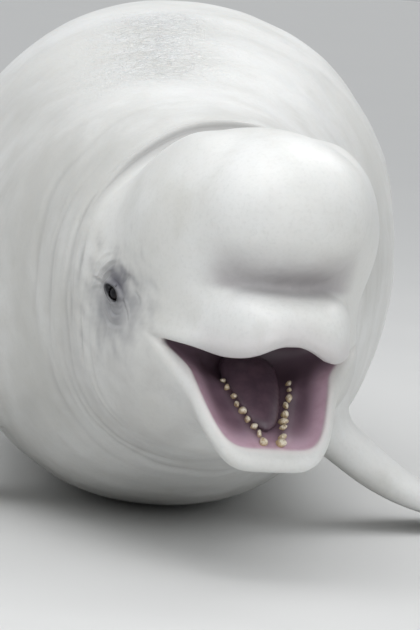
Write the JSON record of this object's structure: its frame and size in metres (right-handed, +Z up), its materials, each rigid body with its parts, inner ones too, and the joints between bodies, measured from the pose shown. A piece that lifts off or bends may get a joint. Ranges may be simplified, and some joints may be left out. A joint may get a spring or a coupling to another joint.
{
  "type": "beluga whale",
  "caption": "Life-size beluga whale lying on its belly, mouth wide open, head turned a little to its left, flippers and flukes resting on the floor.",
  "frame": {"origin": "middle of the flat under the belly, on the floor, 1.9 m back from the tip of the upper jaw along the straight body", "axes": "+Z up, the body along Y with the tail towards +Y and the nose towards -Y, +X to the whale's left"},
  "size_m": [1.2288, 3.9728, 0.8578],
  "materials": {
    "skin": "wet, smooth white-grey skin",
    "mouth_skin": "wet mauve-grey flesh",
    "eye": "glossy, almost black"
  },
  "bodies": {
    "root": {"head": "skin", "lower_jaw": "skin", "tongue": "mouth_skin", "eye_left": "eye", "eye_right": "eye", "neck": "skin", "chest": "skin", "trunk": "skin", "tail_stock": "skin", "fluke_left": "skin", "fluke_right": "skin", "flipper_left": "skin", "flipper_right": "skin"}
  },
  "joints": []
}
